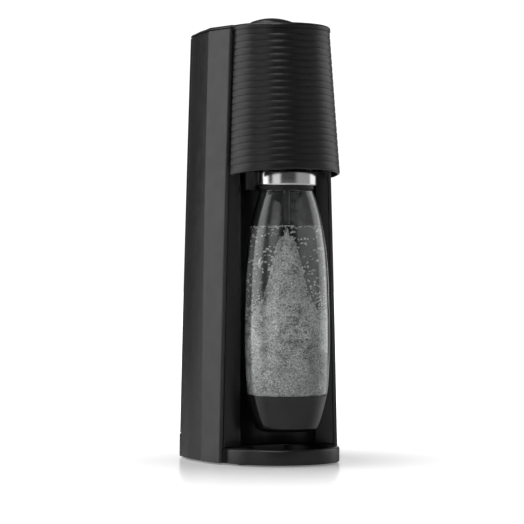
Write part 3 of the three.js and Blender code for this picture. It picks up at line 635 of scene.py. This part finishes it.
def hinge_ear(x):
    """One of the base's ears that hold the rear cover's hinge pin."""
    crown = [(HINGE_Y + EAR_RADIUS * math.cos(a), HINGE_Z + EAR_RADIUS * math.sin(a))
             for a in np.radians(np.linspace(-10, 180, 17))]
    outline = [*crown, (HINGE_Y - EAR_RADIUS, EAR_FOOT), (HINGE_Y + 0.8, EAR_FOOT)]
    rings = [[(at, y, z) for y, z in outline] for at in (x, x + EAR_WIDTH)]
    place = "outer" if abs(x + EAR_WIDTH / 2) > 20 else "inner"
    name = f"hinge_ear_{'left' if x < 0 else 'right'}_{place}"
    soften(add_mesh(name, *loft(rings), "housing", SATIN, "satin_black"), 0.3, 2)


def drip_tray():
    low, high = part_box("drip_tray")
    z0, z1, wall = low.z / MM, high.z / MM, 1.6
    floor = z0 + wall
    ribs = []
    for radius in np.arange(6, 34, 5.0):
        ribs += [(radius + 1.3, floor), (radius + 0.9, floor + 0.8),
                 (radius - 0.9, floor + 0.8), (radius - 1.3, floor)]
    ribs = sorted(ribs, key=lambda point: -point[0])
    profile = [(0, z0), (TRAY_RADIUS, z0), (TRAY_RADIUS, z1), (TRAY_RADIUS - wall, z1),
               (TRAY_RADIUS - wall, floor), *ribs, (0, floor)]
    sizes = [0, 1.2, 0.7, 0.7, 2] + [0.4] * len(ribs) + [0]
    add_mesh("drip_tray_dish", *revolve(rounded(profile, sizes), 0, TRAY_Y), "tray", SATIN, "satin_black",
             ("drip_tray",), 40)


def feet():
    for number in range(1, 5):
        name = f"foot_{number}"
        low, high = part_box(name)
        x, y = (low.x + high.x) / 2 / MM, (low.y + high.y) / 2 / MM - BOTTLE_Y / MM
        radius, top = (high.x - low.x) / 2 / MM, high.z / MM
        profile = [(0, 0), (2, 0), (2, 0.35), (3, 0.35), (3, 0), (5, 0),
                   (radius, 0.9), (radius, top), (0, top)]
        pad = revolve(rounded(profile, 0.3, 3), x, y, 40)
        add_mesh(name + "_pad", *pad, "housing", RUBBER, "rubber", (name,))


# ---- head ----
def between(pair, z):
    return pair[0] + (pair[1] - pair[0]) * (z - HEAD_LOW) / (HEAD_HIGH - HEAD_LOW)


def head_rows():
    """Shares of the height with how deep the skin is there: a rounded lower lip, then the grooves."""
    rows = [(0.0, 1.3), (0.003, 0.5), (0.008, 0.12), (0.014, 0.0)]
    half = GROOVE_HALF
    for k in range(GROOVES):
        centre = FIRST_GROOVE + k * GROOVE_PITCH
        rows += [(centre - 1.9 * half, 0.0), (centre - 0.45 * half, GROOVE_DEPTH),
                 (centre + 0.1 * half, GROOVE_DEPTH), (centre + 0.4 * half, 0.1), (centre + 0.9 * half, 0.0)]
    return rows + [(1.0, 0.0)]


def head_shell():
    angles = np.radians(np.linspace(180, 360, 97))
    across = np.column_stack([np.cos(angles), np.sin(angles)])

    def ring(share, depth, wall):
        points = []
        for cosine, sine in across:
            edge = HEAD_EDGE_SIDE + (HEAD_EDGE_FRONT - HEAD_EDGE_SIDE) * -sine
            z = edge + (HEAD_TOP + 0.35 - edge) * share
            radius = between(HEAD_RADII, z) - depth - wall
            points.append((cosine * radius, between(HEAD_YS, z) + sine * radius, z))
        return points

    rings = []
    for share, depth in head_rows():
        outer = ring(share, depth, 0)
        inner = ring(share, 0, WALL)
        rings.append(outer + inner[::-1])
    add_mesh("head_skin", *loft(rings), "housing", SATIN, "satin_black", ("head_shell",), 24)


# ---- button ----
def button():
    top = top_of("button_cap")
    radius, skirt = BUTTON_RADIUS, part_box("button_cap")[0].z / MM
    dome = [(r, top - 0.0093 * r * r) for r in np.linspace(0, 20.5, 16)]
    edge = [(22.4, top - 5.3), (23.5, top - 6.9), (radius, top - 8.8)]
    lining = [(radius - 1.8, skirt), (radius - 1.8, top - 8.6), (18, top - 6), (0, top - 3.7)]
    add_mesh("button_dome", *revolve([*dome, *edge, (radius, skirt), *lining], 0, BUTTON_Y), "button",
             SATIN, "satin_black", ("button_cap",), 45)


# ---- bottle ----
BODY_CURVE = ((39.9, 68), (41.5, 82), (42.6, 112), (42.6, 141), (41.9, 161), (41.3, 181), (40.2, 200),
              (37.9, 220), (34.4, 240), (32, 250), (29.3, 259.5), (26.1, 268.6))
CUP_CURVE = ((30.5, 35), (33.6, 43), (36.5, 53), (39.75, 67.4))


@lru_cache
def bottle_curve():
    return [tuple(point) for point in spline(BODY_CURVE, 90)]


def bottle_shell():
    neck, top = 22.3, top_of("bottle_shell")
    outer = bottle_curve()
    inner = [(radius - BOTTLE_WALL, z) for radius, z in reversed(outer)]
    shoulder = [(24.5, 269.3), (neck, 269.4), (neck, top - 0.6), (neck - 0.5, top)]
    mouth = [(neck - 2.5, top), (neck - 3, top - 0.6), (neck - 3, 269)]
    lower = [(36.9, 67.5), (36.9, 65.6), (34.2, 54.4), (31.3, 44.4), (28.2, 37.6), (22, 36.8), (0, 36.8)]
    base = [(0, 38.8), (20, 38.8), (26.6, 38.6), (29.7, 45), (32.6, 55), (35.4, 66)]
    profile = [*reversed(lower), *outer, *shoulder, *mouth, *inner, *reversed(base)]
    shell = add_mesh("bottle_wall", *revolve(profile, 0, 0, 128), "bottle", CLEAR, "clear_plastic",
                     ("bottle_shell",), 60)
    shell.visible_shadow = False


def bottle_cup():
    outer = [tuple(point) for point in spline(CUP_CURVE, 24)]
    profile = [(0, 34.6), (17, 34.6), (19.5, 34.2), (22.5, 32.5), (24.5, 32.4), (27.6, 33.2), *outer,
               (39.4, 67.7), (38.0, 67.7), (37.7, 67.2), (34.5, 53), (31.6, 43), (28.5, 36.9), (0, 36.2)]
    add_mesh("bottle_base", *revolve(profile, 0, 0, 128), "bottle", GLOSS, "satin_black", ("bottle_cup",), 45)


def water():
    gap = 0.15
    sides = [(radius - BOTTLE_WALL - gap, z) for radius, z in bottle_curve() if z < WATER_LEVEL - 2]
    top_radius = sides[-1][0]
    profile = [(0, 39), (19.8, 39), (26.3, 39), (29.4, 45.2), (32.3, 55.2), (35.1, 66), *sides,
               (top_radius - 0.3, WATER_LEVEL - 1.2), (top_radius - 1.6, WATER_LEVEL - 0.3),
               (0, WATER_LEVEL - 0.3)]
    body = add_mesh("water_body", *revolve(profile, 0, 0, 128), "bottle", WATER, "clear_plastic", (), 45)
    body.visible_shadow = False


def ball_template(level):
    work = bmesh.new()
    bmesh.ops.create_icosphere(work, subdivisions=level, radius=1)
    corners = np.array([vertex.co for vertex in work.verts])
    triangles = np.array([[vertex.index for vertex in face.verts] for face in work.faces])
    work.free()
    return corners, triangles


def balls(places, sizes, level):
    """One mesh's points and faces for many small balls."""
    corners, triangles = ball_template(level)
    points = (places[:, None, :] + sizes[:, None, None] * corners[None]).reshape(-1, 3)
    starts = np.arange(len(places))[:, None, None] * len(corners)
    return points.tolist(), (starts + triangles[None]).reshape(-1, 3).tolist()


def water_radius(z):
    curve = np.array(bottle_curve())
    if z < 68:
        return float(np.interp(z, (39, 45, 55, 66), (26, 29.4, 32.3, 35)))
    return float(np.interp(z, curve[:, 1], curve[:, 0])) - 1.9


JET = ((0.7, 231), (1.3, 228), (2.4, 222), (4.4, 216), (6.3, 209), (7.8, 201), (9.2, 192), (11, 181),
       (13.5, 170), (17, 159), (22, 149), (28, 139), (33, 127), (36, 112), (36.3, 86), (34, 68),
       (30.5, 56), (27, 46), (20, 40.8))
STRAYS, SURFACE, JET_SKIN, CROWD = 900, 60, 2600, 6500
BUBBLE_SEED = 11


def jet_radius(z):
    curve = np.array(JET)[::-1]
    return np.interp(z, curve[:, 1], curve[:, 0])


def plume():
    """The jet of gas below the nozzle, which widens into the fine cloud that fills the lower bottle."""
    outline = [tuple(point) for point in spline(JET, 150)]
    points, faces = revolve([(0, 231.4), *outline, (0, 40.5)], 0, 0, 120)
    moved = []
    for x, y, z in points:
        radius = math.hypot(x, y)
        swell = noise.noise(Vector((x, y, z)) * 0.16) * 0.12 + noise.noise(Vector((x, y, z)) * 0.55) * 0.09
        room = min(1, (water_radius(z) - radius) / max(radius, 1) / 0.22)
        factor = 1 + swell * max(room, 0)
        moved.append((x * factor, y * factor, z))
    add_mesh("gas_plume", moved, faces, "bottle", FOAM, "clear_plastic", (), 60)


def scatter(random, count, low, high, inner, outer):
    """Points spread between two radii, each a function of the height."""
    z = low + (high - low) * random.random(count)
    near = np.array([inner(level) for level in z])
    far = np.array([outer(level) for level in z])
    radius = near + (far - near) * np.sqrt(random.random(count))
    angle = 2 * math.pi * random.random(count)
    return np.column_stack([radius * np.cos(angle), radius * np.sin(angle), z])


def in_clusters(places, share):
    """Keep the points where a smooth noise is high, so that strays gather in strings and clumps."""
    height = np.array([noise.noise(Vector(place) * 0.075) for place in places])
    return places[height > np.quantile(height, 1 - share)]


def nozzle_clearance(z):
    return 2


def bubble_limit(z):
    """How far out a bubble's middle may lie and still be inside the water."""
    return water_radius(z) - 1.3


def jet_fringe(z):
    return min(jet_radius(z) + 2.5, bubble_limit(z))


def bubbles():
    random = np.random.default_rng(BUBBLE_SEED)
    strays = scatter(random, STRAYS, 150, WATER_LEVEL - 2, jet_radius, bubble_limit)
    strays = in_clusters(strays, 0.3)
    surface = scatter(random, SURFACE, WATER_LEVEL - 2.2, WATER_LEVEL - 1.2, nozzle_clearance, bubble_limit)
    skin = scatter(random, JET_SKIN, 135, 222, jet_radius, jet_fringe)
    crowd = scatter(random, CROWD, 43, 172, jet_radius, bubble_limit)
    crowd = crowd[random.random(len(crowd)) > (crowd[:, 2] - 138) / 34]
    groups = ((strays, 0.65, 0.55, 2), (surface, 0.5, 0.5, 2), (skin, 0.35, 0.35, 1), (crowd, 0.4, 0.4, 1))
    for name, (places, smallest, spread, level) in zip(("strays", "surface", "jet_skin", "crowd"), groups):
        sizes = smallest + spread * random.random(len(places)) ** 2
        add_mesh("bubbles_" + name, *balls(places, sizes, level), "bottle", BUBBLES, "clear_plastic", (), 75)


# ---- holder and ring ----
def chrome_ring():
    low, high = (v.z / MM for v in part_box("chrome_ring"))
    inner, outer = 27, 29.6
    profile = [(inner, low + 0.8), (inner + 0.8, low), (outer - 0.9, low), (outer, low + 0.9),
               (outer, high - 0.9), (outer - 0.9, high), (inner, high)]
    loop = rounded([profile[-1], *profile, profile[0]], 0.6, 4)[1:-1]
    add_mesh("chrome_collar", *revolve(loop, 0, 0, 128, True), "holder", CHROME, "chrome",
             ("chrome_ring",), 50)


def neck_sleeve():
    low, high = (v.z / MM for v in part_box("neck_sleeve"))
    inner, outer = 22.8, 26.6
    profile = [(inner, high), (inner, low), (inner + 0.6, low),
               (outer - 0.8, low), (outer, low + 0.8), (outer, high)]
    loop = rounded([profile[-1], *profile, profile[0]], 0.5, 4)[1:-1]
    add_mesh("neck_sleeve_liner", *revolve(loop, 0, 0, 96, True), "holder", INNER, "inner_black",
             ("neck_sleeve",), 50)


# ---- pieces carried over from CAD, with softened edges ----
def carry(node, material, width):
    """A finer copy of a CAD node: flats joined, edges rounded, curves shaded smooth."""
    source = frame["nodes"][node]
    piece = bpy.data.objects.new(node + "_fine", source.data.copy())
    bpy.context.scene.collection.objects.link(piece)
    work = bmesh.new()
    work.from_mesh(piece.data)
    bmesh.ops.remove_doubles(work, verts=work.verts, dist=2e-6)
    bmesh.ops.dissolve_limit(work, angle_limit=math.radians(1), verts=work.verts, edges=work.edges)
    work.to_mesh(piece.data)
    work.free()
    finish_piece(piece, source["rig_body"], material, (node,), 32)
    soften(piece, width, 2)


CARRIED = (
    (INNER, "inner_black", 0.3, ("base_plate", "head_underside", "head_frame", "button_well", "button_stem",
                                 "carbonation_block", "nozzle_tip", "hose_elbow")),
    (SATIN, "satin_black", 0.8, ("holder_yoke", "cover_latch")),
    (STEEL, "steel", 0.3, ("actuator_lever", "mechanism_plate", "valve_block", "pivot_bracket_right",
                           "pivot_bracket_left")),
    (STEEL, "steel", 0.2, ("actuator_pin", "cover_hinge_pin", "release_pin_right", "release_pin_left",
                           "pivot_pin_right", "pivot_pin_left", "base_screw_1", "base_screw_2",
                           "base_screw_3", "base_screw_4")),
    (BRASS, "brass", 0.25, ("valve_plunger", "relief_valve", "hose_fitting", "cylinder_valve")),
    (RUBBER, "rubber", 0.3, ("cylinder_seat", "plunger_seal", "bottle_seal")),
    (GREY, "release_grey", 0.6, ("release_lever",)),
    (NOZZLE, "nozzle_grey", 0.15, ("nozzle_tube",)),
)


def carried_pieces():
    for material, slot, width, nodes in CARRIED:
        for node in nodes:
            carry(node, material, width)


# ---- inner pieces made finer ----
def tube_along(points, radius, sides=16):
    """A capped round tube along a run of points."""
    points = [Vector(point) for point in points]
    up = Vector((0, 0, 1))
    rings = []
    for i, here in enumerate(points):
        along = (points[min(i + 1, len(points) - 1)] - points[max(i - 1, 0)]).normalized()
        side = along.cross(up)
        side = side.normalized() if side.length > 1e-3 else Vector((1, 0, 0))
        lift = side.cross(along)
        rings.append([tuple(here + radius * (side * math.cos(a) + lift * math.sin(a)))
                      for a in np.linspace(0, 2 * math.pi, sides, endpoint=False)])
    return loft(rings)


def helix(radius, z0, z1, turns, x, y, steps=40):
    angles = np.linspace(0, 2 * math.pi * turns, turns * steps + 1)
    return [(x + radius * math.cos(a), y + radius * math.sin(a), z0 + (z1 - z0) * i / (len(angles) - 1))
            for i, a in enumerate(angles)]


def springs():
    rows = (("button_spring", 7.5, 0.7, 5, BUTTON_Y, "button_press", 7),
            ("latch_spring", 3.4, 0.6, 4, 124, "latch_press", 3))
    for node, radius, wire, turns, y, joint, travel in rows:
        low, high = (v.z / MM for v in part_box(node))
        line = helix(radius, low + wire, high - wire, turns, 0, y)
        piece = add_mesh(node + "_coil", *tube_along(line, wire, 10), "housing", STEEL, "steel", (node,), 60)
        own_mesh(piece)


def gas_hose():
    route = ((-25.6, 74, 385), (-30, 74, 385), (-38, 61, 384), (-42, 40, 379), (-44.4, 22, 367),
             (-45.3, 10, 348), (-45.4, 6, 330), (-45.4, 6, 314.4))
    add_mesh("gas_hose_line", *tube_along(spline(route, 70), 2.5, 16), "housing", RUBBER, "rubber",
             ("gas_hose",), 60)


def gas_cylinder():
    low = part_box("gas_cylinder")[0].z / MM
    outer = [(0, low + 3), (14, low + 2), (20, low), (27, low), (30, low + 4), (30, 322), (28.6, 329),
             (25.5, 335.5), (21, 340.5), (15.5, 344), (13, 346.5), (13, 350)]
    inner = [(6, 350), (6, 341), (20, 336), (24.5, 329), (27.5, 320), (27.5, low + 8),
             (20, low + 5), (0, low + 5)]
    sizes = [0, 1, 3, 3, 3, 8, 3, 3, 3, 3, 1, 0.5] + [0.5] * (len(inner) - 1) + [0]
    add_mesh("gas_cylinder_body", *revolve(rounded(outer + inner, sizes), 0, CYLINDER_Y, 96), "cylinder",
             PAINT, "cylinder_paint", ("gas_cylinder",), 40)


# ---- stage, camera and lights ----
CAMERA_TURN = math.radians(27)
CAMERA_DISTANCE, CAMERA_HEIGHT = 2.2, 0.1827
PIXELS_PER_METRE, FRAME_PIXELS, SENSOR = 1016, 524, 36
SHIFT_X, SHIFT_Y = -0.0468, 0.0305


def camera():
    data = bpy.data.cameras.new("camera")
    data.sensor_width = SENSOR
    data.lens = SENSOR * PIXELS_PER_METRE * CAMERA_DISTANCE / FRAME_PIXELS
    data.shift_x, data.shift_y = SHIFT_X, SHIFT_Y
    data.clip_end = 60
    eye = bpy.data.objects.new("camera", data)
    eye.location = (-CAMERA_DISTANCE * math.sin(CAMERA_TURN),
                    BOTTLE_Y - CAMERA_DISTANCE * math.cos(CAMERA_TURN), CAMERA_HEIGHT)
    eye.rotation_euler = (math.pi / 2, 0, -CAMERA_TURN)
    bpy.context.scene.collection.objects.link(eye)
    bpy.context.scene.camera = eye


def fade_edges(light):
    """Dim a rectangular light smoothly towards its upright edges, as a diffuser does."""
    light.use_nodes = True
    nodes, links = light.node_tree.nodes, light.node_tree.links
    place = nodes.new("ShaderNodeNewGeometry")
    split = nodes.new("ShaderNodeSeparateXYZ")
    links.new(place.outputs["Parametric"], split.inputs[0])
    offset_from_middle = nodes.new("ShaderNodeMath")
    offset_from_middle.operation = "SUBTRACT"
    offset_from_middle.inputs[1].default_value = 0.5
    links.new(split.outputs["X"], offset_from_middle.inputs[0])
    size = nodes.new("ShaderNodeMath")
    size.operation = "ABSOLUTE"
    links.new(offset_from_middle.outputs["Value"], size.inputs[0])
    fade = nodes.new("ShaderNodeMapRange")
    fade.interpolation_type = "SMOOTHSTEP"
    fade.inputs["From Min"].default_value = 0.5
    fade.inputs["From Max"].default_value = 0.5 - EDGE_FADE
    links.new(size.outputs["Value"], fade.inputs["Value"])
    links.new(fade.outputs["Result"], nodes["Emission"].inputs["Strength"])


def softbox(name, bearing, span, distance, high, radiance):
    """A soft rectangle standing upright on the floor beside the machine, high metres tall.

    bearing and span are in degrees; bearing counts from the front, positive to the left.
    """
    angle = math.radians(bearing)
    middle = Vector((0, BOTTLE_Y, 0)) + distance * Vector((-math.sin(angle), -math.cos(angle), 0))
    width = 2 * distance * math.tan(math.radians(span / 2))
    data = bpy.data.lights.new(name, "AREA")
    data.shape = "RECTANGLE"
    data.size, data.size_y = width, high
    data.energy = radiance * math.pi * width * high
    fade_edges(data)
    light = bpy.data.objects.new(name, data)
    light.location = middle + Vector((0, 0, high / 2))
    light.rotation_euler = (math.pi / 2, 0, -angle)
    light.visible_camera = False
    bpy.context.scene.collection.objects.link(light)


def overhead_softbox(name, place, size, radiance):
    data = bpy.data.lights.new(name, "AREA")
    data.size = size
    data.energy = radiance * math.pi * size * size
    light = bpy.data.objects.new(name, data)
    light.location = place
    light.visible_camera = False
    bpy.context.scene.collection.objects.link(light)


def seen_directly(nodes):
    return nodes.new("ShaderNodeLightPath").outputs["Is Camera Ray"]


def stage():
    """A white floor with a soft sheen. A painted glow that only the camera sees keeps it white to the edge of
    the picture; the glow fades towards the machine and paints a soft shade round its foot.
    """
    mesh = bpy.data.meshes.new("floor")
    rim = [(FLOOR_REACH * math.cos(t), FLOOR_REACH * math.sin(t), 0)
           for t in np.linspace(0, 2 * math.pi, 97)[:-1]]
    mesh.from_pydata(rim, [], [tuple(range(len(rim)))])
    floor = bpy.data.objects.new("floor", mesh)
    bpy.context.scene.collection.objects.link(floor)
    material, nodes, links, shader = new_material("floor")
    tone = object_noise(nodes, links, 3, 3)
    links.new(ramp(nodes, links, tone, ((0.2, 0.78), (0.8, 0.82))), shader.inputs["Base Color"])
    shader.inputs["Roughness"].default_value = FLOOR_ROUGHNESS
    shader.inputs["Emission Color"].default_value = (1, 1, 1, 1)
    place = nodes.new("ShaderNodeTexCoord")
    reach = nodes.new("ShaderNodeVectorMath")
    reach.operation = "LENGTH"
    links.new(place.outputs["Object"], reach.inputs[0])
    # Painted glow, seen only by the camera: weak at the machine's foot, where it paints a soft shade, and
    # full further out.
    painted_glow_rise = nodes.new("ShaderNodeMapRange")
    painted_glow_rise.inputs["From Min"].default_value = PAINTED_GLOW_RISE_START
    painted_glow_rise.inputs["From Max"].default_value = PAINTED_GLOW_RISE_END
    painted_glow_rise.inputs["To Min"].default_value = PAINTED_GLOW_AT_FOOT
    painted_glow_rise.inputs["To Max"].default_value = 1
    links.new(reach.outputs["Value"], painted_glow_rise.inputs["Value"])
    painted_glow = nodes.new("ShaderNodeMath")
    painted_glow.operation = "MULTIPLY"
    links.new(painted_glow_rise.outputs["Result"], painted_glow.inputs[0])
    links.new(seen_directly(nodes), painted_glow.inputs[1])
    links.new(painted_glow.outputs["Value"], shader.inputs["Emission Strength"])
    mesh.materials.append(material)


def lights():
    world = bpy.data.worlds.new("studio")
    bpy.context.scene.world = world
    world.use_nodes = True
    nodes, links = world.node_tree.nodes, world.node_tree.links
    background = nodes["Background"]
    background.inputs["Color"].default_value = (1, 1, 1, 1)
    level = nodes.new("ShaderNodeMapRange")
    level.inputs["To Min"].default_value = ROOM_LIGHT
    level.inputs["To Max"].default_value = BACKDROP
    links.new(seen_directly(nodes), level.inputs["Value"])
    links.new(level.outputs["Result"], background.inputs["Strength"])
    softbox("left_key", bearing=124, span=62, distance=1.8, high=2.2, radiance=1.35)
    softbox("left_fill", bearing=66, span=44, distance=2.4, high=1.8, radiance=0.66)
    softbox("right_fill", bearing=-42, span=82, distance=2.6, high=2.0, radiance=0.27)
    softbox("right_key", bearing=-95, span=56, distance=2.2, high=1.8, radiance=1.0)
    softbox("behind", bearing=207, span=36, distance=28, high=11, radiance=1.0)
    overhead_softbox("upper_left", place=(-0.75, 0.2, 2.4), size=1.5, radiance=3.0)
    overhead_softbox("front_high", place=(-1.0, -1.4, 2.3), size=0.9, radiance=6.0)
    bpy.context.scene.view_settings.view_transform = "Standard"


def build():
    camera()
    stage()
    lights()
    side_panels()
    rear_shells()
    rear_cover()
    front_column()
    top_cover()
    base_front()
    base_rear()
    drip_tray()
    feet()
    head_shell()
    button()
    chrome_ring()
    neck_sleeve()
    bottle_shell()
    bottle_cup()
    water()
    plume()
    bubbles()
    carried_pieces()
    springs()
    gas_hose()
    gas_cylinder()


build()
